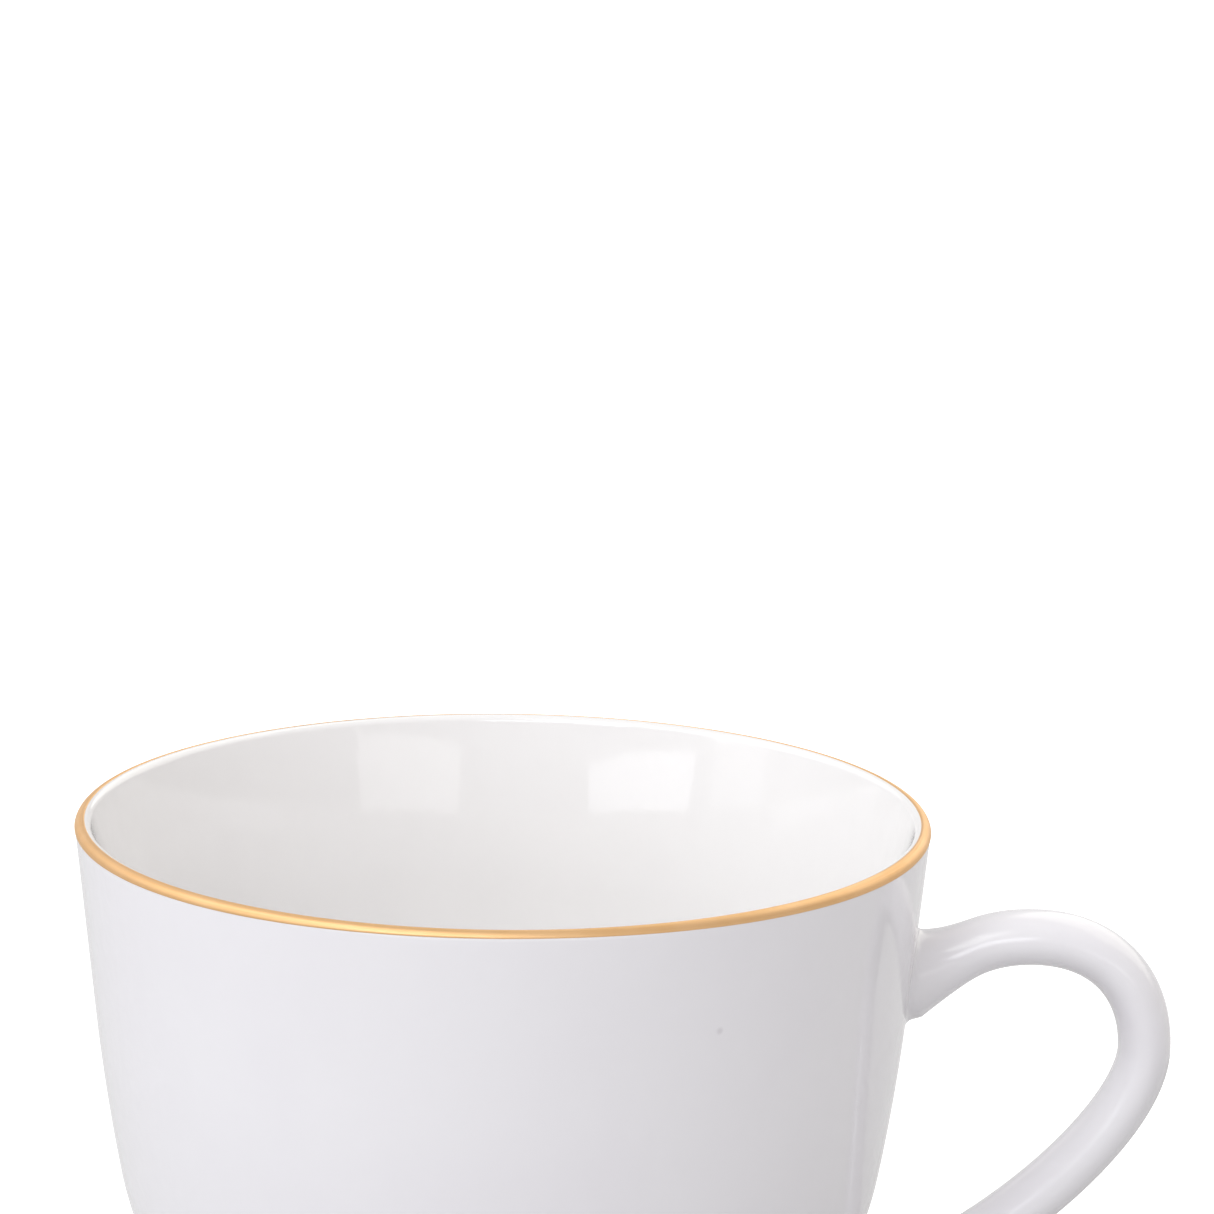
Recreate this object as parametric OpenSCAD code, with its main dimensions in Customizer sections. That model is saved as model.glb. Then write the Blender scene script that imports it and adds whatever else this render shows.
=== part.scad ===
// Porcelain teacup with a looped handle and a gilded lip.
// The origin is on the cup's axis, in the plane that the foot stands on.
// +Z is up and the handle points along +X. All sizes are in millimetres.

/* [Cup] */
// Outside diameter of the clay at the lip
rim_d = 90; // [78:1:108]
// Height of the clay from the standing face to the lip
cup_h = 66; // [58:1:84]
// Lean of the wall below the lip, degrees from upright
wall_lean = 5.9; // [5:0.1:8]
// How far down from the lip the wall runs straight
straight_h = 20; // [12:1:24]
// Radius of the slow curve below the straight wall
side_r = 220; // [180:5:300]
// Lean of the wall where the tighter base curve begins, degrees
side_lean = 10.6; // [9:0.1:13]

/* [Clay thickness] */
// Thickness of the clay at the lip
lip_t = 1.4; // [1:0.1:2]
// Thickness of the wall
wall_t = 3.2; // [2.4:0.1:4]
// Thickness of the floor inside the foot
floor_t = 3.6; // [2.4:0.1:5]
// Radius of the curve between the wall and the floor
floor_r = 14; // [8:1:16]

/* [Foot] */
// Outside diameter of the foot ring
foot_d = 48; // [38:1:58]
// Height of the foot, from the standing face to the bowl
foot_h = 4.4; // [3:0.1:7]
// Thickness of the foot ring where it meets the bowl
foot_t = 4; // [3:0.1:6]
// Slope of the inner side of the foot ring, degrees
foot_slope = 14; // [4:1:18]
// Radius of the two edges of the standing face
foot_edge_r = 0.7; // [0.4:0.1:0.9]
// Height of the bare clay above the standing face, left free of glaze
bare_h = 0.9; // [0.9:0.1:1.6]

/* [Handle] */
// Depth below the lip of the middle of the upper root
upper_root_drop = 16.4; // [14:0.1:20]
// Height above the standing face of the middle of the lower root
lower_root_h = 12.5; // [11:0.5:16]
// Depth below the lip of the handle's crown
crown_drop = 12.5; // [10:0.5:14]
// Distance from the upper root out to the crown
crown_out = 13; // [10:0.2:16]
// Depth below the lip of the furthest point of the grip
grip_drop = 24.5; // [20:0.1:28]
// Distance from the upper root out to the furthest point of the grip
grip_out = 25.2; // [20:0.2:32]
// Rise of the handle where it leaves the upper root, degrees
upper_rise = 16; // [5:1:30]
// Fall of the handle where it meets the lower root, degrees
lower_fall = 3; // [0:1:20]
// Thickness of the handle between the finger and the outside
grip_t = 5.5; // [4.6:0.1:7]
// How much thinner the handle is at its furthest point
grip_thinning = 0.2; // [0:0.1:1]
// Width of the handle across the finger
grip_w = 7.6; // [6.3:0.1:9.5]
// Thickness of the handle at its roots
root_t = 9.7; // [7:0.1:11]
// Width of the handle at its roots
root_w = 11; // [9:0.1:13]
// Length over which the upper root swells
upper_swell = 8; // [6:0.5:12]
// Length over which the lower root swells
lower_swell = 13; // [8:0.5:16]

/* [Joints and coats] */
// Thickness of the clay slip that sticks the pieces together
slip_t = 0.3; // [0.2:0.05:0.6]
// Thickness of the glaze
glaze_t = 0.15; // [0.1:0.01:0.2]
// Thickness of the gilding
gold_t = 0.08; // [0.05:0.01:0.2]
// How far the gilding comes down the outside, below the rounding of the lip
gold_drop = 0.1; // [0.1:0.1:3]
// How far the gilding reaches inward over the lip, degrees past the top
gold_turn = 15; // [5:5:70]

/* [Hidden] */
$fn = 180;
// Facets of the handle: corners of a section, and rings in each of its three stretches
section_corners = 28;
stretch_rings = 14;
// Steps along each curve of the cup's outline
base_steps = 16;
side_steps = 6;
bend_steps = 10;
lip_steps = 12;
clay = "ivory";
slip = "wheat";
glass = "white";
gilt = "goldenrod";

// --- The bowl's outline, as [distance from the axis, height] ---

// The unit direction that looks out of a wall which leans by the angle a
function outward(a) = [cos(a), -sin(a)];
function upward(a) = [sin(a), cos(a)];

lip_r = rim_d / 2;
foot_r = foot_d / 2;
// Where the straight wall ends and the side curve begins
side_top = [lip_r - straight_h * tan(wall_lean), cup_h - straight_h];
side_centre = side_top - side_r * outward(wall_lean);
base_top = side_centre + side_r * outward(side_lean);
// The base curve leaves the side curve smoothly and ends at the top of the foot
foot_top = [foot_r, foot_h];
base_chord = base_top - foot_top;
base_chord_lean = atan2(base_chord.x, base_chord.y);
base_r = norm(base_chord) / (2 * sin(base_chord_lean - side_lean));
base_centre = base_top - base_r * outward(side_lean);

// Distance from the axis to the straight wall, grown by a coat's thickness, at height z
function straight_x(coat, z) = lip_r + coat / cos(wall_lean) - (cup_h - z) * tan(wall_lean);

// Distance from the axis to the outside of the clay at height z
function wall_x(z) =
    z > side_top.y ? straight_x(0, z)
    : z > base_top.y ? side_centre.x + sqrt(side_r ^ 2 - (z - side_centre.y) ^ 2)
    : base_centre.x + sqrt(base_r ^ 2 - (z - base_centre.y) ^ 2);

// The round lip touches the straight outside and the inner curve
lip_round = lip_t / 2;
lip_centre = [lip_r - lip_round * (tan(wall_lean) + 1 / cos(wall_lean)), cup_h - lip_round];
// The inner curve thins the wall from its full thickness up to the lip
inner_top = side_top - wall_t * outward(wall_lean);
lip_along = (lip_centre - inner_top) * upward(wall_lean);
lip_across = wall_t - lip_round;
inner_r = (lip_along ^ 2 + lip_across ^ 2 - lip_round ^ 2) / (2 * (wall_t - lip_t));
inner_centre = inner_top + inner_r * outward(wall_lean);
inner_lip_lean = wall_lean + atan2(lip_along, inner_r - lip_across);
// The directions from the lip's centre between which it is round
lip_outer_end = -wall_lean;
lip_inner_end = 180 - inner_lip_lean;

// The floor and the curve that joins it to the inside of the wall
floor_z = foot_h + floor_t;
bend_z = floor_z + floor_r;
bend_reach = base_r - wall_t - floor_r;
bend_centre = [base_centre.x + sqrt(bend_reach ^ 2 - (bend_z - base_centre.y) ^ 2), bend_z];
bend_lean = atan2(base_centre.y - bend_z, bend_centre.x - base_centre.x);

// Points along an arc, from one direction to another
function arc(centre, r, from, to, steps) = [
    for (i = [0 : steps])
    let (a = from + (to - from) * i / steps)
    centre + r * [cos(a), sin(a)]
];
function reversed(list) = [for (i = [len(list) - 1 : -1 : 0]) list[i]];

// The outside of the wall, grown by a coat's thickness, up to the end of the side curve.
// It starts where it meets a foot of the radius foot_end.
function outside_line(coat, foot_end) =
    let (end_lean = acos((foot_end - base_centre.x) / (base_r + coat)))
    concat(
        arc(base_centre, base_r + coat, -end_lean, -side_lean, base_steps),
        arc(side_centre, side_r + coat, -side_lean, -wall_lean, side_steps)
    );

// The inside, less a coat's thickness, from the middle of the floor up to the lip's rounding
function inside_line(coat) = concat(
    [[0, floor_z + coat]],
    arc(bend_centre, floor_r - coat, -90, -bend_lean, bend_steps),
    arc(base_centre, base_r - wall_t - coat, -bend_lean, -side_lean, base_steps),
    arc(side_centre, side_r - wall_t - coat, -side_lean, -wall_lean, side_steps),
    arc(inner_centre, inner_r + coat, 180 - wall_lean, 180 - inner_lip_lean, side_steps)
);

// The lip's rounding, grown by a coat's thickness, from its outside to its inside
function lip_line(coat, from, to) = arc(lip_centre, lip_round + coat, from, to, lip_steps);

// --- The foot's outline ---

foot_inner_r = foot_r - foot_t;
foot_outer_edge = [foot_r - foot_edge_r, foot_edge_r];
foot_inner_edge = [foot_inner_x(foot_edge_r) + foot_edge_r / cos(foot_slope), foot_edge_r];

// Distance from the axis to the inner side of the foot ring at height z
function foot_inner_x(z) = foot_inner_r + (foot_h - z) * tan(foot_slope);

// --- The handle: three curves, swept by an oval section ---

upper_root = [wall_x(cup_h - upper_root_drop), cup_h - upper_root_drop];
lower_root = [wall_x(lower_root_h), lower_root_h];
crown = [upper_root.x + crown_out, cup_h - crown_drop];
grip = [upper_root.x + grip_out, cup_h - grip_drop];
upper_heading = [cos(upper_rise), sin(upper_rise)];
lower_heading = [-cos(lower_fall), -sin(lower_fall)];

// Reach of each curve's tangents, as shares of its own width and height
crown_pull = 0.45;
round_pull = 0.61;
fall_pull = 0.34;
lower_pull = 0.39;
// The swept ends run this far into the bowl, where its outside trims them
root_run = 7;

upper_curve = [
    upper_root,
    upper_root + crown_pull * crown_out * upper_heading,
    crown - [crown_pull * crown_out, 0],
    crown,
];
round_curve = [
    crown,
    crown + [round_pull * (grip.x - crown.x), 0],
    grip + [0, round_pull * (crown.y - grip.y)],
    grip,
];
lower_curve = [
    grip,
    grip - [0, fall_pull * (grip.y - lower_root.y)],
    lower_root - lower_pull * (grip.x - lower_root.x) * lower_heading,
    lower_root,
];

function curve_point(c, t) =
    (1 - t) ^ 3 * c[0] + 3 * t * (1 - t) ^ 2 * c[1] + 3 * t ^ 2 * (1 - t) * c[2] + t ^ 3 * c[3];
function curve_slope(c, t) =
    (1 - t) ^ 2 * (c[1] - c[0]) + 2 * t * (1 - t) * (c[2] - c[1]) + t ^ 2 * (c[3] - c[2]);
function unit(v) = v / norm(v);

// Stations along the handle, each a point and a direction, with a run into the bowl at both ends
function stretch(c, first) = [
    for (i = [first : stretch_rings]) [
        curve_point(c, i / stretch_rings),
        unit(curve_slope(c, i / stretch_rings)),
    ]
];
stations = concat(
    [[upper_root - root_run * upper_heading, upper_heading]],
    stretch(upper_curve, 0),
    stretch(round_curve, 1),
    stretch(lower_curve, 1),
    [[lower_root + root_run * lower_heading, lower_heading]]
);
last_station = len(stations) - 1;

// A swelling that is 1 at a point and dies away over a length
function swelling(p, centre, length) = max(0, 1 - norm(p - centre) / length) ^ 2;
function root_swelling(i, p) =
    i == 0 || i == last_station ? 1
    : swelling(p, upper_root, upper_swell) + swelling(p, lower_root, lower_swell);
function handle_t(i, p) =
    grip_t + (root_t - grip_t) * root_swelling(i, p) - grip_thinning * swelling(p, grip, grip_out);
function handle_w(i, p) = grip_w + (root_w - grip_w) * root_swelling(i, p);

// One oval ring of corners around a station, grown by a coat's thickness
function ring(i, coat) =
    let (p = stations[i][0], along = stations[i][1], side = [-along.y, along.x])
    let (half_t = handle_t(i, p) / 2 + coat, half_w = handle_w(i, p) / 2 + coat)
    [
        for (k = [0 : section_corners - 1])
        let (a = 360 * k / section_corners, q = p + half_t * cos(a) * side)
        [q.x, half_w * sin(a), q.y]
    ];

// Triangles between two rings of corners, which start at the numbers a and b
function ring_faces(a, b) = [
    for (k = [0 : section_corners - 1])
    let (m = (k + 1) % section_corners)
    each [[a + k, a + m, b + k], [a + m, b + m, b + k]]
];

// A solid sweep of the stations from first to last
module handle_sweep(first, last, coat) {
    corners = section_corners;
    rings = last - first + 1;
    polyhedron(
        points = [for (i = [first : last]) each ring(i, coat)],
        faces = concat(
            [[for (k = [corners - 1 : -1 : 0]) k]],
            [for (j = [0 : rings - 2]) each ring_faces(j * corners, (j + 1) * corners)],
            [[for (k = [0 : corners - 1]) (rings - 1) * corners + k]]
        )
    );
}

// The sweep's skin: a tube from the handle's surface out to the coat's surface
module handle_skin(coat) {
    corners = section_corners;
    rings = last_station + 1;
    inner = rings * corners;
    end = (rings - 1) * corners;
    polyhedron(
        points = concat(
            [for (i = [0 : last_station]) each ring(i, coat)],
            [for (i = [0 : last_station]) each ring(i, 0)]
        ),
        faces = concat(
            [for (j = [0 : rings - 2]) each ring_faces(j * corners, (j + 1) * corners)],
            [for (j = [0 : rings - 2]) each ring_faces(inner + (j + 1) * corners, inner + j * corners)],
            ring_faces(inner, 0),
            ring_faces(end, inner + end)
        )
    );
}

// The bowl as a solid lump, grown by a coat's thickness
module bowl_lump(coat) {
    rotate_extrude() polygon(concat(
        [[0, foot_h]],
        outside_line(coat, foot_r),
        lip_line(coat, lip_outer_end, 90),
        [[0, cup_h + coat]]
    ));
}

// The slip layer under one root: the swept handle within a slip's thickness of the bowl
module slip_layer(first, last) {
    difference() {
        intersection() {
            handle_sweep(first, last, 0);
            bowl_lump(slip_t);
        }
        bowl_lump(0);
    }
}

// The swept ends reach from their root to where the root's slip is left well behind
root_rings = 9;

// --- The pieces ---

module bowl() {
    color(clay) rotate_extrude() polygon(concat(
        [[0, foot_h]],
        outside_line(0, foot_r),
        lip_line(0, lip_outer_end, lip_inner_end),
        reversed(inside_line(0))
    ));
}

module foot_ring() {
    top = foot_h - slip_t;
    color(clay) rotate_extrude() polygon(concat(
        arc(foot_inner_edge, foot_edge_r, 180 + foot_slope, 270, lip_steps),
        arc(foot_outer_edge, foot_edge_r, -90, 0, lip_steps),
        [[foot_r, top], [foot_inner_x(top), top]]
    ));
}

module foot_joint() {
    low = foot_h - slip_t;
    color(slip) rotate_extrude() polygon([
        [foot_inner_x(low), low],
        [foot_r, low],
        [foot_r, foot_h],
        [foot_inner_r, foot_h],
    ]);
}

module handle() {
    color(clay) difference() {
        handle_sweep(0, last_station, 0);
        bowl_lump(slip_t);
    }
}

module upper_handle_joint() {
    color(slip) slip_layer(0, root_rings);
}

module lower_handle_joint() {
    color(slip) slip_layer(last_station - root_rings, last_station);
}

module inside_glaze() {
    color(glass) rotate_extrude() polygon(concat(
        inside_line(glaze_t),
        reversed(lip_line(glaze_t, 90, lip_inner_end)),
        lip_line(0, 90, lip_inner_end),
        reversed(inside_line(0))
    ));
}

module outside_glaze() {
    glazed_foot_r = foot_r + glaze_t;
    color(glass) difference() {
        rotate_extrude() polygon(concat(
            [[foot_r, bare_h], [glazed_foot_r, bare_h]],
            outside_line(glaze_t, glazed_foot_r),
            lip_line(glaze_t, lip_outer_end, 90),
            reversed(lip_line(0, lip_outer_end, 90)),
            reversed(outside_line(0, foot_r))
        ));
        handle_sweep(0, root_rings, 0);
        handle_sweep(last_station - root_rings, last_station, 0);
    }
}

module foot_well_glaze() {
    edge = glaze_t / cos(foot_slope);
    top = foot_h - glaze_t;
    color(glass) rotate_extrude() polygon([
        [0, foot_h],
        [foot_inner_r, foot_h],
        [foot_inner_x(bare_h), bare_h],
        [foot_inner_x(bare_h) - edge, bare_h],
        [foot_inner_x(top) - edge, top],
        [0, top],
    ]);
}

module handle_glaze() {
    color(glass) difference() {
        handle_skin(glaze_t);
        bowl_lump(glaze_t);
    }
}

module rim_gilding() {
    top = glaze_t + gold_t;
    edge_z = lip_centre.y - (lip_round + top) * sin(wall_lean) - gold_drop;
    turn = 90 + gold_turn;
    color(gilt) rotate_extrude() polygon(concat(
        [[straight_x(glaze_t, edge_z), edge_z], [straight_x(top, edge_z), edge_z]],
        lip_line(top, lip_outer_end, turn),
        reversed(lip_line(glaze_t, lip_outer_end, turn))
    ));
}

bowl();
foot_ring();
foot_joint();
handle();
upper_handle_joint();
lower_handle_joint();
inside_glaze();
outside_glaze();
foot_well_glaze();
handle_glaze();
rim_gilding();
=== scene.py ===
"""A white glazed porcelain teacup with a looped handle and a gilded lip, on a pale table.

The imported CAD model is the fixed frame: metres, +Z up, origin in the middle of the standing face,
handle along +X. The clay and slip inside the cup stay as CAD made them. The glaze coats, the
gilding and the bare foot, which are what shows, are turned and swept again here as smooth meshes
on the same outlines.
"""
from math import acos, atan2, cos, degrees, hypot, pi, radians, sin, sqrt, tan

import bmesh
import bpy
from mathutils import Matrix, Vector


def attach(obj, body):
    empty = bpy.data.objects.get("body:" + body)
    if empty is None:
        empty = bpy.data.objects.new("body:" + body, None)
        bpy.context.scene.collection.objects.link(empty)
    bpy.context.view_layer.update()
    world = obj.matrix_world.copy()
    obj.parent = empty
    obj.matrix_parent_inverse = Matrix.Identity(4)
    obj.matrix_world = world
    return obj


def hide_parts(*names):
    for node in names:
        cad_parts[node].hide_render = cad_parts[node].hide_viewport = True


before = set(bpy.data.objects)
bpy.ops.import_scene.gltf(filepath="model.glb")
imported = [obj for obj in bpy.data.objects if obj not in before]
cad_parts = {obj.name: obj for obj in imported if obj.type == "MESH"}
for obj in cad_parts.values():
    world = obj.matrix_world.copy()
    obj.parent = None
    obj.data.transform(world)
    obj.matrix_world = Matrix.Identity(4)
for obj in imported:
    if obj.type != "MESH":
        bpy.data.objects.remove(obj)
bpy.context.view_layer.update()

MM = 0.001
scene = bpy.context.scene

# --- The cup's sizes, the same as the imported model's. Leans are in degrees from upright ---

LIP_R = 45 * MM
CUP_H = 66 * MM
WALL_LEAN = 5.9
STRAIGHT_H = 20 * MM
SIDE_R = 220 * MM
SIDE_LEAN = 10.6
LIP_T = 1.4 * MM
WALL_T = 3.2 * MM
FLOOR_T = 3.6 * MM
FLOOR_R = 14 * MM
FOOT_R = 24 * MM
FOOT_H = 4.4 * MM
FOOT_T = 4 * MM
FOOT_SLOPE = 14
FOOT_EDGE_R = 0.7 * MM
BARE_H = 0.9 * MM
SLIP_T = 0.3 * MM
GLAZE_T = 0.15 * MM
GOLD_T = 0.08 * MM

# The handle, as distances from its upper root and heights in the cup
UPPER_ROOT_H = CUP_H - 16.4 * MM
LOWER_ROOT_H = 12.5 * MM
CROWN_OUT, CROWN_H = 13 * MM, CUP_H - 12.5 * MM
GRIP_OUT, GRIP_H = 25.2 * MM, CUP_H - 24.5 * MM
UPPER_RISE = 16
LOWER_FALL = 3
GRIP_T = 5.5 * MM
GRIP_THINNING = 0.2 * MM
GRIP_W = 7.6 * MM
ROOT_T = 9.7 * MM
ROOT_W = 11 * MM
UPPER_SWELL = 8 * MM
LOWER_SWELL = 13 * MM
# How far its ends run on into the bowl, and how far each bend of its centreline is drawn out
ROOT_RUN = 7 * MM
CROWN_PULL, ROUND_PULL, FALL_PULL, LOWER_PULL = 0.45, 0.61, 0.34, 0.39

# The marks of the hand: how far the walls waver, and how the glaze gathers and ends
WALL_WAVER = 0.03 * MM
WAVER_FADE_BELOW_LIP = 6 * MM
WAVER_FADE_FROM_AXIS = 12 * MM
GLAZE_POOL = 0.8 * MM
EDGE_ROLL = 0.12 * MM
WELL_EDGE_ROLL = 0.08 * MM
WELL_BEND_R = 0.5 * MM

# The gilding, as runs along the glazed lip from where its rounding begins outside
GOLD_LOW, GOLD_HIGH = 0.02 * MM, 1.58 * MM
GOLD_RISE_IN_FRONT, GOLD_DIP_FRONT_RIGHT, GOLD_DIP_BEHIND = 0.32 * MM, 0.11 * MM, 0.38 * MM
GOLD_LOW_WAVER, GOLD_HIGH_WAVER = 0.035 * MM, 0.04 * MM
GOLD_BITE = 0.02 * MM

# How finely the smooth meshes are made
TURN_STEPS = 288
BASE_STEPS, SIDE_STEPS, STRAIGHT_STEPS, LIP_STEPS = 40, 16, 20, 20
FLOOR_STEPS, BEND_STEPS, INNER_BASE_STEPS, INNER_LIP_STEPS = 8, 20, 32, 20
FOOT_EDGE_STEPS, FLAT_STEPS = 14, 6
WELL_BEND_STEPS, WELL_ROOF_STEPS = 8, 6
HANDLE_CORNERS, HANDLE_RINGS, FILLET_STEPS = 72, 150, 8
GOLD_STEPS = 26

# The sharpest turn, in degrees, that is still shaded as smooth
CREASE, HANDLE_CREASE, GOLD_CREASE = 40, 60, 75


# --- The bowl's outline, as (distance from the axis, height) ---

def point(x, y):
    return Vector((x, y))


def outward(lean):
    """The direction straight out of a wall that leans out by so many degrees."""
    return point(cos(radians(lean)), -sin(radians(lean)))


def upward(lean):
    return point(sin(radians(lean)), cos(radians(lean)))


side_top = point(LIP_R - STRAIGHT_H * tan(radians(WALL_LEAN)), CUP_H - STRAIGHT_H)
side_centre = side_top - SIDE_R * outward(WALL_LEAN)
base_top = side_centre + SIDE_R * outward(SIDE_LEAN)
base_chord = base_top - point(FOOT_R, FOOT_H)
base_chord_lean = atan2(base_chord.x, base_chord.y)
base_r = base_chord.length / (2 * sin(base_chord_lean - radians(SIDE_LEAN)))
base_centre = base_top - base_r * outward(SIDE_LEAN)

lip_round = LIP_T / 2
lip_centre = point(
    LIP_R - lip_round * (tan(radians(WALL_LEAN)) + 1 / cos(radians(WALL_LEAN))), CUP_H - lip_round
)
inner_top = side_top - WALL_T * outward(WALL_LEAN)
lip_along = (lip_centre - inner_top).dot(upward(WALL_LEAN))
lip_across = WALL_T - lip_round
inner_r = (lip_along**2 + lip_across**2 - lip_round**2) / (2 * (WALL_T - LIP_T))
inner_centre = inner_top + inner_r * outward(WALL_LEAN)
inner_lip_lean = WALL_LEAN + degrees(atan2(lip_along, inner_r - lip_across))

floor_z = FOOT_H + FLOOR_T
bend_z = floor_z + FLOOR_R
bend_reach = base_r - WALL_T - FLOOR_R
bend_centre = point(base_centre.x + sqrt(bend_reach**2 - (bend_z - base_centre.y) ** 2), bend_z)
bend_lean = degrees(atan2(base_centre.y - bend_z, bend_centre.x - base_centre.x))


def arc(centre, radius, start, end, steps):
    """Points along an arc between two directions, in degrees."""
    turns = (radians(start + (end - start) * i / steps) for i in range(steps + 1))
    return [centre + radius * point(cos(a), sin(a)) for a in turns]


def outside_line(coat, foot_end):
    """The outside of the wall, grown by a coat, from a foot of that radius up to the lip."""
    end_lean = degrees(acos((foot_end - base_centre.x) / (base_r + coat)))
    return (
        arc(base_centre, base_r + coat, -end_lean, -SIDE_LEAN, BASE_STEPS)
        + arc(side_centre, SIDE_R + coat, -SIDE_LEAN, -WALL_LEAN, SIDE_STEPS)
        + straight_line(coat)
    )


def straight_line(coat):
    """The straight wall below the lip, without its two ends."""
    low = side_top + coat * outward(WALL_LEAN)
    high = lip_centre + (lip_round + coat) * outward(WALL_LEAN)
    return [low.lerp(high, i / STRAIGHT_STEPS) for i in range(1, STRAIGHT_STEPS)]


def inside_line(coat):
    """The inside less a coat, from the middle of the floor up to the lip's rounding."""
    floor = [point(bend_centre.x * i / FLOOR_STEPS, floor_z + coat) for i in range(FLOOR_STEPS)]
    return (
        floor
        + arc(bend_centre, FLOOR_R - coat, -90, -bend_lean, BEND_STEPS)
        + arc(base_centre, base_r - WALL_T - coat, -bend_lean, -SIDE_LEAN, INNER_BASE_STEPS)
        + arc(side_centre, SIDE_R - WALL_T - coat, -SIDE_LEAN, -WALL_LEAN, SIDE_STEPS)
        + arc(inner_centre, inner_r + coat, 180 - WALL_LEAN, 180 - inner_lip_lean, INNER_LIP_STEPS)
    )


def lip_line(coat, start, end):
    """The lip's rounding grown by a coat: 0 is outermost, 90 the top, 180 towards the axis."""
    return arc(lip_centre, lip_round + coat, start, end, LIP_STEPS)


def wall_x(z, coat=0):
    """Distance from the axis to the outside of the wall, grown by a coat, at a height."""
    if z > side_top.y:
        return LIP_R + coat / cos(radians(WALL_LEAN)) - (CUP_H - z) * tan(radians(WALL_LEAN))
    if z > base_top.y:
        return side_centre.x + sqrt((SIDE_R + coat) ** 2 - (z - side_centre.y) ** 2)
    return base_centre.x + sqrt((base_r + coat) ** 2 - (z - base_centre.y) ** 2)


def foot_inner_x(z):
    return FOOT_R - FOOT_T + (FOOT_H - z) * tan(radians(FOOT_SLOPE))


# --- Making meshes ---

def finished_piece(name, mesh, crease):
    """A smooth piece from a bmesh: faces looking out, and edges sharper than the crease crisp."""
    bmesh.ops.remove_doubles(mesh, verts=mesh.verts, dist=1e-7)
    bmesh.ops.recalc_face_normals(mesh, faces=mesh.faces)
    data = bpy.data.meshes.new(name)
    mesh.to_mesh(data)
    mesh.free()
    data.shade_smooth()
    data.set_sharp_from_angle(angle=radians(crease))
    piece = bpy.data.objects.new(name, data)
    scene.collection.objects.link(piece)
    return piece


def bridged(mesh, first, second):
    """Faces between two rings of corners. A ring of one corner is a pole."""
    count = max(len(first), len(second))
    for k in range(count):
        m = (k + 1) % count
        around = ((first, k), (first, m), (second, m), (second, k))
        corners = list(dict.fromkeys(ring[i % len(ring)] for ring, i in around))
        if len(corners) > 2:
            mesh.faces.new(corners)


def turned(name, outline_at, crease=CREASE):
    """A closed outline turned on the cup's axis. outline_at gives it at each turn, in radians."""
    mesh = bmesh.new()
    turns = [2 * pi * k / TURN_STEPS for k in range(TURN_STEPS)]
    outlines = [outline_at(a) for a in turns]
    rings = []
    for i, start in enumerate(outlines[0]):
        if start.x < 1e-7:
            rings.append([mesh.verts.new((0, 0, start.y))])
            continue
        ring = []
        for a, outline in zip(turns, outlines):
            out = outline[i].x
            ring.append(mesh.verts.new((out * cos(a), out * sin(a), outline[i].y)))
        rings.append(ring)
    for first, second in zip(rings, rings[1:] + rings[:1]):
        bridged(mesh, first, second)
    return finished_piece(name, mesh, crease)


def stood_for(piece, node):
    """The piece takes a CAD node's place, which it hides, and goes with the cup."""
    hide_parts(node)
    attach(piece, "root")
    return piece


def hand_waver(turn, height, size):
    """The slight unevenness of a cast and sponged wall, no more than about the given size."""
    slow = sin(2 * turn + 0.7) + 0.6 * sin(3 * turn - 1.1 + 40 * height)
    quick = 0.35 * sin(7 * turn + 90 * height) + 0.25 * sin(11 * turn - 150 * height + 2)
    return size * (slow + quick) / 2.2


def wavered(line, turn):
    """An outline with the hand's waver on it, fading out near the lip and the axis."""
    out = []
    for p in line:
        fade = min(1, max(0, (CUP_H - p.y) / WAVER_FADE_BELOW_LIP))
        fade *= min(1, p.x / WAVER_FADE_FROM_AXIS)
        out.append(p + point(hand_waver(turn, p.y, WALL_WAVER) * fade, 0))
    return out


# --- The handle's centreline and sections, in the plane of its loop ---

upper_root = point(wall_x(UPPER_ROOT_H), UPPER_ROOT_H)
lower_root = point(wall_x(LOWER_ROOT_H), LOWER_ROOT_H)
crown = point(upper_root.x + CROWN_OUT, CROWN_H)
grip = point(upper_root.x + GRIP_OUT, GRIP_H)
upper_heading = point(cos(radians(UPPER_RISE)), sin(radians(UPPER_RISE)))
lower_heading = point(-cos(radians(LOWER_FALL)), -sin(radians(LOWER_FALL)))
handle_curves = [
    [
        upper_root,
        upper_root + CROWN_PULL * CROWN_OUT * upper_heading,
        crown - point(CROWN_PULL * CROWN_OUT, 0),
        crown,
    ],
    [
        crown,
        crown + point(ROUND_PULL * (grip.x - crown.x), 0),
        grip + point(0, ROUND_PULL * (crown.y - grip.y)),
        grip,
    ],
    [
        grip,
        grip - point(0, FALL_PULL * (grip.y - lower_root.y)),
        lower_root - LOWER_PULL * (grip.x - lower_root.x) * lower_heading,
        lower_root,
    ],
]


def station(u):
    """A point of the centreline and its heading. 0 is the upper root and 3 the lower one."""
    if u < 0:
        return upper_root + u * ROOT_RUN * upper_heading, upper_heading
    if u > 3:
        return lower_root + (u - 3) * ROOT_RUN * lower_heading, lower_heading
    c, t = handle_curves[min(int(u), 2)], u - min(int(u), 2)
    s = 1 - t
    place = s**3 * c[0] + 3 * t * s**2 * c[1] + 3 * t**2 * s * c[2] + t**3 * c[3]
    slope = s**2 * (c[1] - c[0]) + 2 * t * s * (c[2] - c[1]) + t**2 * (c[3] - c[2])
    return place, slope.normalized()


def swelling(p, centre, length):
    return max(0, 1 - (p - centre).length / length) ** 2


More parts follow.
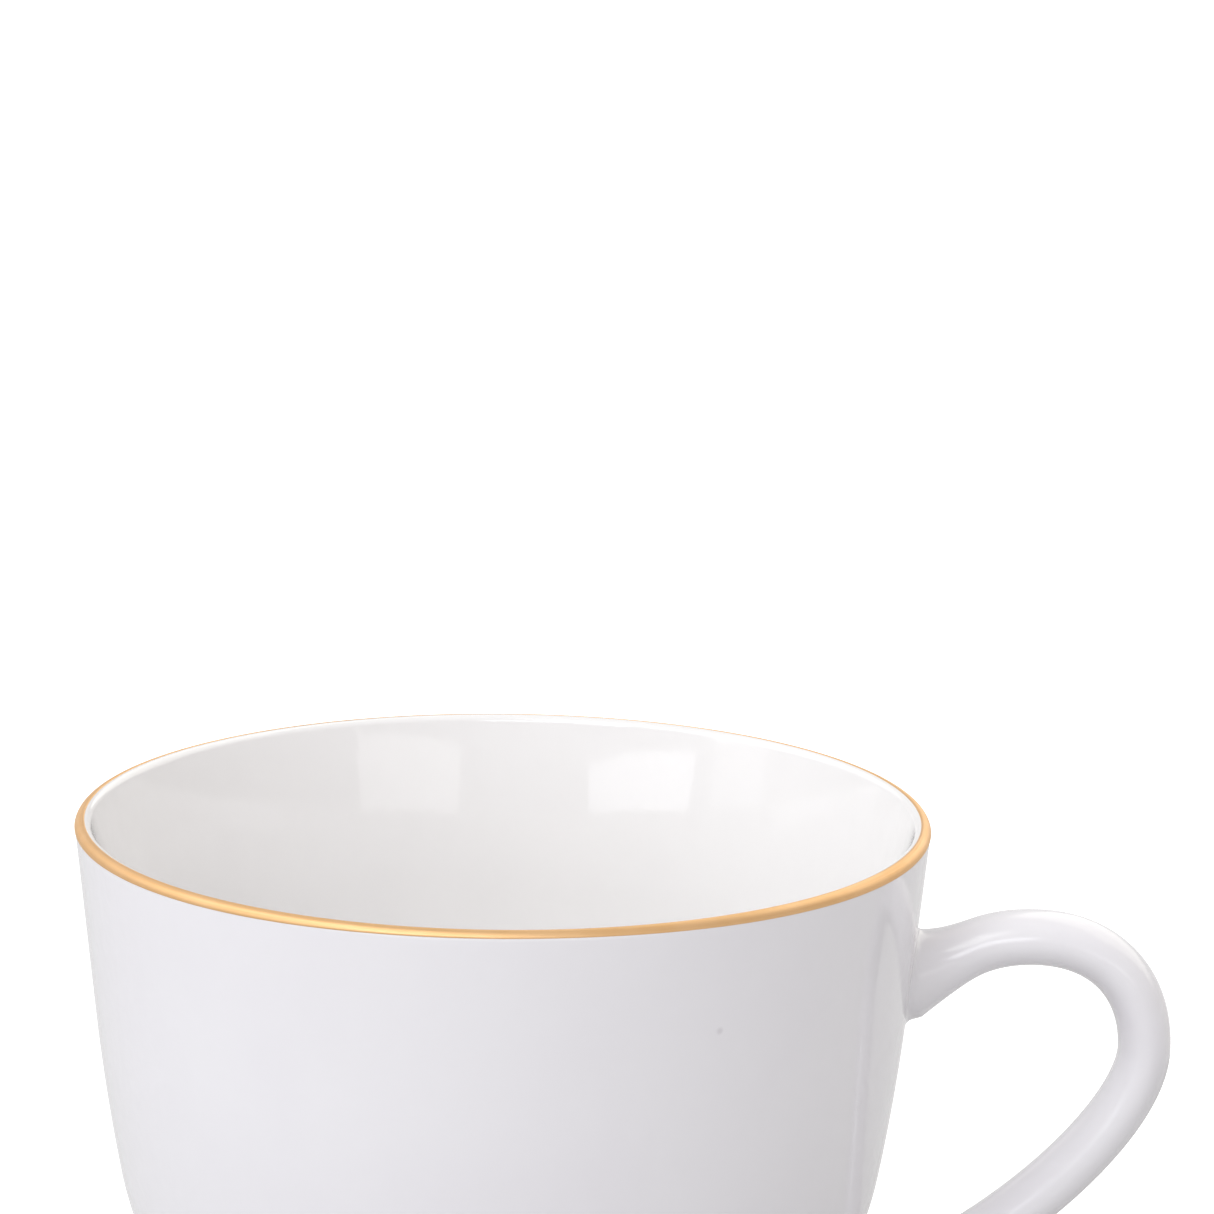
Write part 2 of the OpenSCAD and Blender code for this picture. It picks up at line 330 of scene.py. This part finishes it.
def handle_point(u, corner, coat):
    """A point of the handle's surface grown by a coat, at a turn round its oval section."""
    p, along = station(u)
    root = 1
    if 0 <= u <= 3:
        root = swelling(p, upper_root, UPPER_SWELL) + swelling(p, lower_root, LOWER_SWELL)
    thinning = GRIP_THINNING * swelling(p, grip, GRIP_OUT)
    half_t = (GRIP_T + (ROOT_T - GRIP_T) * root - thinning) / 2 + coat
    half_w = (GRIP_W + (ROOT_W - GRIP_W) * root) / 2 + coat
    q = p + half_t * cos(corner) * point(-along.y, along.x)
    return Vector((q.x, half_w * sin(corner), q.y))


def clear_of_wall(p, coat):
    return hypot(p.x, p.y) - wall_x(p.z, coat)


def meets_wall(inside_u, outside_u, corner, coat, wall_coat):
    """The station at which one line along the handle comes out of the wall."""
    for _ in range(40):
        middle = (inside_u + outside_u) / 2
        if clear_of_wall(handle_point(middle, corner, coat), wall_coat) < 0:
            inside_u = middle
        else:
            outside_u = middle
    return (inside_u + outside_u) / 2


def on_wall(p, coat):
    """The point moved level onto the wall's surface."""
    share = wall_x(p.z, coat) / hypot(p.x, p.y)
    return Vector((p.x * share, p.y * share, p.z))


def fillet(u, step, corner, root):
    """The glaze that gathers where the handle meets the wall, from a toe on the wall outwards."""
    edge = handle_point(u, corner, GLAZE_T)
    nudge = 0.01
    pace = (handle_point(u + step * nudge, corner, GLAZE_T) - edge).length / nudge
    end_u = u + step * GLAZE_POOL / pace
    end = handle_point(end_u, corner, GLAZE_T)
    away = edge - on_wall(Vector((root.x, 0, root.y)), GLAZE_T)
    face = Vector((edge.x, edge.y, 0)).normalized()
    toe = on_wall(edge + GLAZE_POOL * (away - away.dot(face) * face).normalized(), GLAZE_T)
    ts = [i / FILLET_STEPS for i in range(FILLET_STEPS)]
    return [(1 - t) ** 2 * toe + 2 * t * (1 - t) * edge + t**2 * end for t in ts], end_u


def stations(first, last):
    return [first + (last - first) * i / HANDLE_RINGS for i in range(HANDLE_RINGS + 1)]


def handle_skin(name):
    """The coat round the handle: an outer skin with a fillet at each root, and an inner one."""
    mesh = bmesh.new()
    outer, inner = [], []
    for k in range(HANDLE_CORNERS):
        corner = 2 * pi * k / HANDLE_CORNERS
        top_u = meets_wall(-1, 0.9, corner, GLAZE_T, GLAZE_T)
        low_u = meets_wall(4, 2.2, corner, GLAZE_T, GLAZE_T)
        top, first_u = fillet(top_u, 1, corner, upper_root)
        low, last_u = fillet(low_u, -1, corner, lower_root)
        middle = [handle_point(u, corner, GLAZE_T) for u in stations(first_u, last_u)]
        outer.append(top + middle + low[::-1])
        clay_top = meets_wall(-1, 0.9, corner, 0, GLAZE_T)
        clay_low = meets_wall(4, 2.2, corner, 0, GLAZE_T)
        inner.append([handle_point(u, corner, 0) for u in stations(clay_low, clay_top)])
    lines = [a + b for a, b in zip(outer, inner)]
    rings = [[mesh.verts.new(line[i]) for line in lines] for i in range(len(lines[0]))]
    for first, second in zip(rings, rings[1:] + rings[:1]):
        bridged(mesh, first, second)
    return finished_piece(name, mesh, HANDLE_CREASE)


# --- The pieces that show ---

def inside_coat():
    def outline(turn):
        skin = wavered(inside_line(GLAZE_T), turn)
        back = lip_line(0, 90, 180 - inner_lip_lean) + inside_line(0)[::-1]
        return skin + lip_line(GLAZE_T, 90, 180 - inner_lip_lean)[::-1] + back

    return stood_for(turned("inside_glaze_coat", outline), "inside_glaze")


def outside_coat():
    def outline(turn):
        ragged = hand_waver(turn, 0.01, 0.12 * MM) + 0.05 * MM * sin(23 * turn)
        low = BARE_H + ragged
        edge = [
            point(FOOT_R, low),
            point(FOOT_R + GLAZE_T * 0.7, low),
            point(FOOT_R + GLAZE_T, low + EDGE_ROLL),
        ]
        skin = wavered(outside_line(GLAZE_T, FOOT_R + GLAZE_T), turn)
        crest = lip_line(GLAZE_T, -WALL_LEAN, 90)
        back = lip_line(0, -WALL_LEAN, 90)[::-1] + outside_line(0, FOOT_R)[::-1]
        return edge + skin + crest + back

    return stood_for(turned("outside_glaze_coat", outline), "outside_glaze")


def foot_well_coat():
    ceiling = FOOT_H - GLAZE_T
    edge_x = foot_inner_x(ceiling) - GLAZE_T
    bend_middle = point(edge_x - WELL_BEND_R, ceiling - WELL_BEND_R)
    bend = arc(bend_middle, WELL_BEND_R, 8, 90, WELL_BEND_STEPS)
    roof = [point(edge_x * i / WELL_ROOF_STEPS, ceiling) for i in range(WELL_ROOF_STEPS)][::-1]

    def outline(turn):
        low = BARE_H + hand_waver(turn, 0.02, 0.1 * MM) + 0.04 * MM * sin(19 * turn)
        clay_x = foot_inner_x(low)
        wall = [point(clay_x, low), point(clay_x - GLAZE_T, low + WELL_EDGE_ROLL)]
        back = [point(0, FOOT_H), point(foot_inner_x(FOOT_H), FOOT_H)]
        return wall + bend + roof + back

    return stood_for(turned("foot_well_glaze_coat", outline), "foot_well_glaze")


def handle_coat():
    return stood_for(handle_skin("handle_glaze_coat"), "handle_glaze")


def on_lip(run):
    """A point on the glazed lip and the way out of it, by its run from where rounding begins."""
    radius = lip_round + GLAZE_T
    if run < 0:
        foot = lip_centre + radius * outward(WALL_LEAN)
        return foot + run * upward(WALL_LEAN), outward(WALL_LEAN)
    a = run / radius - radians(WALL_LEAN)
    way = point(cos(a), sin(a))
    return lip_centre + radius * way, way


def bump_at(turn, centre, width):
    """1 at a turn round the cup and dying away on both sides, all in degrees."""
    gap = (degrees(turn) - centre + 180) % 360 - 180
    return 2.718 ** (-((gap / width) ** 2))


def gilding():
    """A band laid with a brush on a turning wheel: its edges wander, and it thins out at both."""

    def outline(turn):
        front = GOLD_RISE_IN_FRONT * bump_at(turn, -85, 34)
        front_right = GOLD_DIP_FRONT_RIGHT * bump_at(turn, -30, 26)
        behind = GOLD_DIP_BEHIND * bump_at(turn, 90, 60)
        low = GOLD_LOW + front - front_right
        low += hand_waver(turn, 0.03, GOLD_LOW_WAVER)
        high = GOLD_HIGH - behind + hand_waver(turn, 0.05, GOLD_HIGH_WAVER)
        face, back = [], []
        for i in range(GOLD_STEPS + 1):
            place, way = on_lip(low + (high - low) * i / GOLD_STEPS)
            rise = min(1, i / 3, (GOLD_STEPS - i) / 3)
            face.append(place + GOLD_T * (0.15 + 0.85 * rise**0.5) * way)
            back.append(place - GOLD_BITE * way)
        return face + back[::-1]

    return stood_for(turned("rim_gilding_band", outline, GOLD_CREASE), "rim_gilding")


def bare_foot():
    """The foot ring, ground flat where it stands and sponged round at its two edges."""
    top = FOOT_H - SLIP_T
    outer_edge = point(FOOT_R - FOOT_EDGE_R, FOOT_EDGE_R)
    inner_edge_x = foot_inner_x(FOOT_EDGE_R) + FOOT_EDGE_R / cos(radians(FOOT_SLOPE))
    inner_edge = point(inner_edge_x, FOOT_EDGE_R)
    inner = arc(inner_edge, FOOT_EDGE_R, 180 + FOOT_SLOPE, 270, FOOT_EDGE_STEPS)
    ground_edge = point(outer_edge.x, 0)
    flat = [inner[-1].lerp(ground_edge, i / FLAT_STEPS) for i in range(1, FLAT_STEPS)]
    outer = arc(outer_edge, FOOT_EDGE_R, -90, 0, FOOT_EDGE_STEPS)
    ring = inner + flat + outer + [point(FOOT_R, top), point(foot_inner_x(top), top)]
    return stood_for(turned("bare_foot_ring", lambda turn: ring), "foot_ring")


# --- Shader helpers and the effects that several finishes share ---

class Nodes:
    """A node tree being wired up. Each input is given a value or another node's socket."""

    def __init__(self, tree):
        self.tree = tree

    def add(self, kind, inputs=None, **settings):
        node = self.tree.nodes.new(kind)
        for key, value in settings.items():
            setattr(node, key, value)
        for key, value in (inputs or {}).items():
            if isinstance(value, bpy.types.NodeSocket):
                self.tree.links.new(value, node.inputs[key])
            else:
                node.inputs[key].default_value = value
        return node

    def mix(self, share, first, second):
        """One colour into another. The Mix node's colours are its inputs 6 and 7, and output 2."""
        inputs = {0: share, 6: first, 7: second}
        return self.add("ShaderNodeMix", inputs, data_type="RGBA").outputs[2]

    def maths(self, operation, first, second, third=0.0):
        inputs = {0: first, 1: second, 2: third}
        return self.add("ShaderNodeMath", inputs, operation=operation).outputs[0]

    def distance(self, inputs, operation):
        return self.add("ShaderNodeVectorMath", inputs, operation=operation).outputs["Value"]

    def spread(self, value, low, high, to_low=0.0, to_high=1.0):
        """A value between low and high, spread over another range and held at its ends."""
        inputs = {"Value": value, "From Min": low, "From Max": high}
        inputs.update({"To Min": to_low, "To Max": to_high})
        node = self.add("ShaderNodeMapRange", inputs, interpolation_type="SMOOTHSTEP")
        return node.outputs["Result"]

    def noise(self, place, scale, detail, roughness=0.5, distortion=0.0):
        inputs = {"Vector": place, "Scale": scale, "Detail": detail}
        inputs.update({"Roughness": roughness, "Distortion": distortion})
        return self.add("ShaderNodeTexNoise", inputs).outputs["Fac"]

    def object_place(self):
        return self.add("ShaderNodeTexCoord").outputs["Object"]


def effect(name, inputs, outputs):
    """A node group with inputs given as (name, kind, value) and outputs given as (name, kind)."""
    tree = bpy.data.node_groups.new(name, "ShaderNodeTree")
    for label, kind, value in inputs:
        socket = tree.interface.new_socket(label, in_out="INPUT", socket_type=kind)
        socket.default_value = value
    for label, kind in outputs:
        tree.interface.new_socket(label, in_out="OUTPUT", socket_type=kind)
    nodes = Nodes(tree)
    return nodes, nodes.add("NodeGroupInput"), nodes.add("NodeGroupOutput")


FLOAT, COLOUR, VECTOR = "NodeSocketFloat", "NodeSocketColor", "NodeSocketVector"


def glaze_flow():
    """A fired glaze: clouds of slightly thicker coat, a faint dimpled skin and a rare pinhole."""
    nodes, given, out = effect(
        "glaze flow",
        [
            ("Coat", COLOUR, (0.9, 0.9, 0.9, 1)),
            ("Thick Coat", COLOUR, (0.85, 0.85, 0.86, 1)),
            ("Cloud Size", FLOAT, 0.02),
            ("Dimple Size", FLOAT, 0.0016),
            ("Sheen Loss", FLOAT, 0.03),
            ("Pinholes", FLOAT, 0.1),
        ],
        [("Colour", COLOUR), ("Roughness", FLOAT), ("Height", FLOAT)],
    )
    place = nodes.object_place()
    cloud_scale = nodes.maths("DIVIDE", 1.0, given.outputs["Cloud Size"])
    clouds = nodes.noise(place, cloud_scale, 4, 0.5, 0.4)
    thick = nodes.spread(clouds, 0.35, 0.75)
    dimple_scale = nodes.maths("DIVIDE", 1.0, given.outputs["Dimple Size"])
    dimples = nodes.noise(place, dimple_scale, 2, 0.4)
    cells = nodes.add("ShaderNodeTexVoronoi", {"Vector": place, "Scale": 160.0})
    near = nodes.maths("LESS_THAN", cells.outputs["Distance"], 0.028)
    lot = nodes.add("ShaderNodeSeparateColor", {"Color": cells.outputs["Color"]}).outputs["Red"]
    chosen = nodes.maths("LESS_THAN", lot, given.outputs["Pinholes"])
    pit = nodes.maths("MULTIPLY", near, chosen)
    colour = nodes.mix(thick, given.outputs["Coat"], given.outputs["Thick Coat"])
    colour = nodes.mix(nodes.maths("MULTIPLY", pit, 0.35), colour, (0.35, 0.31, 0.28, 1))
    base = nodes.maths("MULTIPLY", nodes.noise(place, 220.0, 4), given.outputs["Sheen Loss"])
    height = nodes.maths("ADD", nodes.maths("MULTIPLY", clouds, 4.0), dimples)
    height = nodes.maths("SUBTRACT", height, nodes.maths("MULTIPLY", pit, 3.0))
    links = nodes.tree.links
    links.new(colour, out.inputs["Colour"])
    links.new(nodes.maths("ADD", 0.045, base), out.inputs["Roughness"])
    links.new(height, out.inputs["Height"])
    return nodes.tree


def fired_grain():
    """Bare fired clay: fine sandy grain with a few darker grains and a stain that varies slowly."""
    nodes, given, out = effect(
        "fired grain",
        [
            ("Clay", COLOUR, (0.85, 0.82, 0.77, 1)),
            ("Stain", COLOUR, (0.6, 0.53, 0.45, 1)),
            ("Grain Size", FLOAT, 0.0004),
            ("Stain Amount", FLOAT, 0.4),
        ],
        [("Colour", COLOUR), ("Roughness", FLOAT), ("Height", FLOAT)],
    )
    place = nodes.object_place()
    fine = nodes.noise(place, nodes.maths("DIVIDE", 1.0, given.outputs["Grain Size"]), 3, 0.6)
    slow = nodes.noise(place, 120.0, 4, 0.6, 0.5)
    stained = nodes.maths("MULTIPLY", nodes.spread(slow, 0.45, 0.75), given.outputs["Stain Amount"])
    grains = nodes.maths("MULTIPLY", nodes.spread(fine, 0.62, 0.78), 0.5)
    colour = nodes.mix(stained, given.outputs["Clay"], given.outputs["Stain"])
    colour = nodes.mix(grains, colour, given.outputs["Stain"])
    links = nodes.tree.links
    links.new(colour, out.inputs["Colour"])
    links.new(nodes.spread(fine, 0.3, 0.7, 0.62, 0.85), out.inputs["Roughness"])
    links.new(fine, out.inputs["Height"])
    return nodes.tree


def shade_and_speck_spot():
    """A soft tinted spot round a place, used for painted shade at the handle roots and for a speck
    in the glaze: 1 in the middle and 0 at the reach.
    """
    nodes, given, out = effect(
        "shade and speck spot",
        [("Place", VECTOR, (0, 0, 0)), ("Reach", FLOAT, 0.01)],
        [("Mask", FLOAT)],
    )
    gap = nodes.distance({0: nodes.object_place(), 1: given.outputs["Place"]}, "DISTANCE")
    share = nodes.maths("DIVIDE", gap, given.outputs["Reach"])
    nodes.tree.links.new(nodes.spread(share, 0.15, 1.0, 1.0, 0.0), out.inputs["Mask"])
    return nodes.tree


GLAZE_FLOW = glaze_flow()
FIRED_GRAIN = fired_grain()
SHADE_AND_SPECK_SPOT = shade_and_speck_spot()


def finish_tree(name):
    """A new material: its nodes, and its shader already joined to the surface."""
    material = bpy.data.materials.new(name)
    material.use_nodes = True
    material.node_tree.nodes.clear()
    nodes = Nodes(material.node_tree)
    shader = nodes.add("ShaderNodeBsdfPrincipled")
    nodes.add("ShaderNodeOutputMaterial", {"Surface": shader.outputs["BSDF"]})
    return material, nodes, shader


def placed(nodes, tree, values):
    group = nodes.add("ShaderNodeGroup", node_tree=tree)
    for key, value in values.items():
        group.inputs[key].default_value = value
    return group.outputs


def relief(nodes, height, depth, distance):
    bump = nodes.add("ShaderNodeBump", {"Height": height, "Strength": depth, "Distance": distance})
    return bump.outputs["Normal"]


def glazed(name, coat, thick, cloud_size, shade_and_speck_spots=(), sheen_loss=0.03):
    """Clear glaze on white porcelain, with spots tinted into its colour: painted shade round the
    handle roots, and a speck.
    """
    material, nodes, shader = finish_tree(name)
    values = {"Coat": coat, "Thick Coat": thick, "Cloud Size": cloud_size}
    values.update({"Sheen Loss": sheen_loss, "Pinholes": 0.02})
    flow = placed(nodes, GLAZE_FLOW, values)
    colour = flow["Colour"]
    # Each spot darkens the glaze colour round a place: painted shade at the handle roots, a real
    # speck on the wall.
    for place, reach, tint in shade_and_speck_spots:
        mask = placed(nodes, SHADE_AND_SPECK_SPOT, {"Place": place, "Reach": reach})["Mask"]
        colour = nodes.mix(mask, colour, tint)
    links = nodes.tree.links
    links.new(colour, shader.inputs["Base Color"])
    links.new(flow["Roughness"], shader.inputs["Roughness"])
    links.new(relief(nodes, flow["Height"], depth=0.08, distance=0.0002), shader.inputs["Normal"])
    shader.inputs["IOR"].default_value = 1.5
    shader.inputs["Coat Weight"].default_value = 0.5
    shader.inputs["Coat Roughness"].default_value = 0.015 + 0.4 * sheen_loss
    return material


def bare(name, clay, stain, grain_size, stain_amount):
    """Fired clay with no glaze on it."""
    material, nodes, shader = finish_tree(name)
    values = {"Clay": clay, "Stain": stain, "Grain Size": grain_size, "Stain Amount": stain_amount}
    grain = placed(nodes, FIRED_GRAIN, values)
    links = nodes.tree.links
    links.new(grain["Colour"], shader.inputs["Base Color"])
    links.new(grain["Roughness"], shader.inputs["Roughness"])
    links.new(relief(nodes, grain["Height"], depth=0.5, distance=0.00008), shader.inputs["Normal"])
    return material


GOLD_TINT, PALER_GOLD_TINT = (0.79, 0.5, 0.24, 1), (0.83, 0.54, 0.28, 1)
STREAK_TINT = (0.74, 0.42, 0.17, 1)


def burnished_gold():
    """Fired bright gold: redder streaks along the brush's way, and slow changes of colour."""
    material, nodes, shader = finish_tree("burnished gold")
    place = nodes.object_place()
    split = nodes.add("ShaderNodeSeparateXYZ", {"Vector": place})
    turn = nodes.maths("ARCTAN2", split.outputs["Y"], split.outputs["X"])
    along = nodes.maths("MULTIPLY", turn, 3.0)
    across = nodes.maths("MULTIPLY", split.outputs["Z"], 9000.0)
    streak_place = nodes.add("ShaderNodeCombineXYZ", {"X": along, "Y": across}).outputs["Vector"]
    streaks = nodes.noise(streak_place, 1.0, 4, 0.6)
    clouds = nodes.noise(place, 160.0, 3, 0.5, 0.3)
    colour = nodes.mix(nodes.spread(clouds, 0.3, 0.7), GOLD_TINT, PALER_GOLD_TINT)
    colour = nodes.mix(nodes.spread(streaks, 0.55, 0.8, 0.0, 0.4), colour, STREAK_TINT)
    links = nodes.tree.links
    links.new(colour, shader.inputs["Base Color"])
    links.new(nodes.spread(streaks, 0.25, 0.8, 0.42, 0.6), shader.inputs["Roughness"])
    links.new(relief(nodes, streaks, depth=0.25, distance=0.00003), shader.inputs["Normal"])
    shader.inputs["Metallic"].default_value = 1.0
    return material


def dress(obj, material):
    obj.data.materials.clear()
    obj.data.materials.append(material)


# One glaze in two tints: the inside's warmer tint and the outside's cooler one are painted light,
# the colour the light gives each side.
OUTSIDE_COAT, OUTSIDE_THICK = (0.86, 0.85, 0.875, 1), (0.845, 0.832, 0.862, 1)
INSIDE_COAT, INSIDE_THICK = (0.87, 0.86, 0.855, 1), (0.855, 0.845, 0.84, 1)
# The tint round the handle roots is painted shade: the glaze is darkened where the handle joins the
# bowl.
ROOT_SHADE_TINT = (0.81, 0.8, 0.815, 1)
SPECK_TINT = (0.74, 0.72, 0.75, 1)
speck_turn, speck_h = radians(-59.3), 54.2 * MM
speck_out = wall_x(speck_h, GLAZE_T)
speck_place = (speck_out * cos(speck_turn), speck_out * sin(speck_turn), speck_h)
upper_place = (upper_root.x, 0, upper_root.y)
lower_place = (lower_root.x, 0, lower_root.y)
# Painted shade round the upper and lower handle roots, out to 8 and 9 mm.
painted_root_shade = [(upper_place, 8 * MM, ROOT_SHADE_TINT), (lower_place, 9 * MM, ROOT_SHADE_TINT)]
spots = painted_root_shade + [(speck_place, 0.55 * MM, SPECK_TINT)]
GROUND_CLAY, GROUND_STAIN = (0.84, 0.81, 0.76, 1), (0.62, 0.55, 0.47, 1)
BODY_CLAY, BODY_STAIN = (0.86, 0.84, 0.8, 1), (0.7, 0.65, 0.58, 1)
SLIP, SLIP_STAIN = (0.8, 0.77, 0.71, 1), (0.6, 0.54, 0.46, 1)

dress(inside_coat(), glazed("inside glaze", INSIDE_COAT, INSIDE_THICK, 0.018))
dress(outside_coat(), glazed("outside glaze", OUTSIDE_COAT, OUTSIDE_THICK, 0.024, spots))
dress(handle_coat(), glazed("handle glaze", OUTSIDE_COAT, OUTSIDE_THICK, 0.012, painted_root_shade, 0.3))
dress(foot_well_coat(), glazed("foot well glaze", OUTSIDE_COAT, OUTSIDE_THICK, 0.016))
dress(gilding(), burnished_gold())
dress(bare_foot(), bare("ground foot", GROUND_CLAY, GROUND_STAIN, 0.0004, 0.5))

body_clay = bare("body clay", BODY_CLAY, BODY_STAIN, 0.0005, 0.25)
joint_slip = bare("joint slip", SLIP, SLIP_STAIN, 0.0003, 0.4)
for node, material in {
    "bowl": body_clay,
    "handle": body_clay,
    "foot_joint": joint_slip,
    "upper_handle_joint": joint_slip,
    "lower_handle_joint": joint_slip,
}.items():
    dress(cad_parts[node], material)


# --- The studio ---

TABLE_PAINT, TABLE_MOTTLE = (0.5, 0.5, 0.505, 1), (0.53, 0.53, 0.53, 1)
# How much brighter than its paint the table looks in the open and under the cup, and how far from
# the axis the one gives way to the other. The lesser glow under the cup is a painted shadow.
TABLE_LIFT, LIFT_IN_PAINTED_SHADOW = 0.9, 0.5
LIFT_FROM, LIFT_TO = 25 * MM, 85 * MM
# The same for the table and the backdrop as reflections show them
MIRRORED_LIFT, MIRRORED_BACKDROP_LIFT = 0.2, 0.4
MIRRORED_FROM, MIRRORED_TO = 0.4, 1.4
SURROUND = (0.63, 0.61, 0.61, 1)
WORLD_SHOWN = (1.0, 1.0, 1.0, 1)


def table():
    """A seamless pale table, just under the foot, that sweeps up into its own backdrop."""
    near, far, half_width, sweep_r, backdrop_h = -1.6, 2.2, 3.2, 0.8, 2.4
    top = -0.02 * MM
    mesh = bmesh.new()
    run = [point(y, top) for y in (near, -0.5, 0.5, far - sweep_r)]
    bend = arc(point(far - sweep_r, sweep_r + top), sweep_r, -90, 0, 24)
    line = run + bend[1:] + [point(far, backdrop_h)]
    rows = [[mesh.verts.new((x, p.x, p.y)) for x in (-half_width, 0, half_width)] for p in line]
    for first, second in zip(rows, rows[1:]):
        for k in range(2):
            mesh.faces.new([first[k], first[k + 1], second[k + 1], second[k]])
    data = bpy.data.meshes.new("pale_table")
    mesh.to_mesh(data)
    mesh.free()
    data.shade_smooth()
    floor = bpy.data.objects.new("pale_table", data)
    scene.collection.objects.link(floor)
    material, nodes, shader = finish_tree("pale table paint")
    mottle = nodes.noise(nodes.object_place(), 6.0, 3)
    paint = nodes.mix(mottle, TABLE_PAINT, TABLE_MOTTLE)
    nodes.tree.links.new(paint, shader.inputs["Base Color"])
    shader.inputs["Roughness"].default_value = 0.9
    # The glow fades towards the cup's axis: a painted shadow under and round the foot.
    from_cup = nodes.distance({0: nodes.object_place()}, "LENGTH")
    bright = nodes.spread(from_cup, LIFT_FROM, LIFT_TO, LIFT_IN_PAINTED_SHADOW, TABLE_LIFT)
    path = nodes.add("ShaderNodeLightPath").outputs
    seen = nodes.maths("MULTIPLY", path["Is Camera Ray"], bright)
    mirrored = nodes.spread(
        from_cup, MIRRORED_FROM, MIRRORED_TO, MIRRORED_LIFT, MIRRORED_BACKDROP_LIFT
    )
    lift = nodes.maths("MULTIPLY_ADD", path["Is Glossy Ray"], mirrored, seen)
    shader.inputs["Emission Color"].default_value = (1, 1, 1, 1)
    nodes.tree.links.new(lift, shader.inputs["Emission Strength"])
    dress(floor, material)


def surround():
    """Even light from all round, dimmer than the white that shows past the table."""
    world = bpy.data.worlds.new("studio")
    scene.world = world
    world.use_nodes = True
    nodes = Nodes(world.node_tree)
    world.node_tree.nodes.clear()
    seen = nodes.add("ShaderNodeLightPath").outputs["Is Camera Ray"]
    colour = nodes.mix(seen, SURROUND, WORLD_SHOWN)
    light = nodes.add("ShaderNodeBackground", {"Color": colour, "Strength": 1.0})
    nodes.add("ShaderNodeOutputWorld", {"Surface": light.outputs["Background"]})


def soft_box(name, turn, height, distance, width, tall, power, colour):
    """A soft box aimed at the cup, so many degrees round from the handle and up from the table."""
    middle = Vector((0, 0, CUP_H / 2))
    a, e = radians(turn), radians(height)
    away = Vector((cos(a) * cos(e), sin(a) * cos(e), sin(e)))
    data = bpy.data.lights.new(name, "AREA")
    data.shape = "RECTANGLE"
    data.size, data.size_y = width, tall
    data.energy = power
    data.color = colour
    box = bpy.data.objects.new(name, data)
    box.location = middle + distance * away
    box.rotation_euler = away.to_track_quat("Z", "Y").to_euler()
    scene.collection.objects.link(box)


SOFT_BOXES = [
    # name, turn, height, distance, width, tall, power, colour
    ("left key", 185, 38, 1.2, 1, 0.9, 3.3, (0.92, 0.96, 1)),
    ("left low", 197, 12, 1.3, 0.4, 0.35, 0.2, (0.93, 0.95, 1)),
    ("front left panel", 228.8, 9.9, 1.3, 0.745, 0.273, 0.8, (0.93, 0.95, 1)),
    ("front left high", 230, 58, 1.2, 0.6, 0.6, 2.7, (0.97, 1, 0.98)),
    ("front right strip", 300, 13, 1.3, 0.7, 0.26, 0.5, (1, 1, 1)),
    ("front fill", 255, 32, 1.3, 0.9, 0.4, 3.75, (0.94, 0.95, 1)),
    ("back left", 140, 35, 1.3, 1.1, 1, 1.5, (1, 1, 0.99)),
    ("back right", 50, 35, 1.3, 1.4, 1.2, 5, (1, 0.98, 0.9)),
]


def camera():
    """Looks a little down on the cup from in front, from more than half a metre away."""
    look_down, look_left, tilt = 12.761, -0.029, 0.759
    standpoint = (10.349 * MM, -578.488 * MM, 219.805 * MM)
    data = bpy.data.cameras.new("camera")
    data.lens, data.sensor_width = 167.94, 36
    data.clip_start, data.clip_end = 0.01, 20
    eye = bpy.data.objects.new("camera", data)
    turned_left = Matrix.Rotation(radians(look_left), 4, "Z")
    nodded = Matrix.Rotation(radians(90 - look_down), 4, "X")
    leaned = Matrix.Rotation(radians(tilt), 4, "Z")
    eye.matrix_world = Matrix.Translation(standpoint) @ turned_left @ nodded @ leaned
    scene.collection.objects.link(eye)
    scene.camera = eye


table()
surround()
for box in SOFT_BOXES:
    soft_box(*box)
camera()
scene.view_settings.view_transform = "Standard"
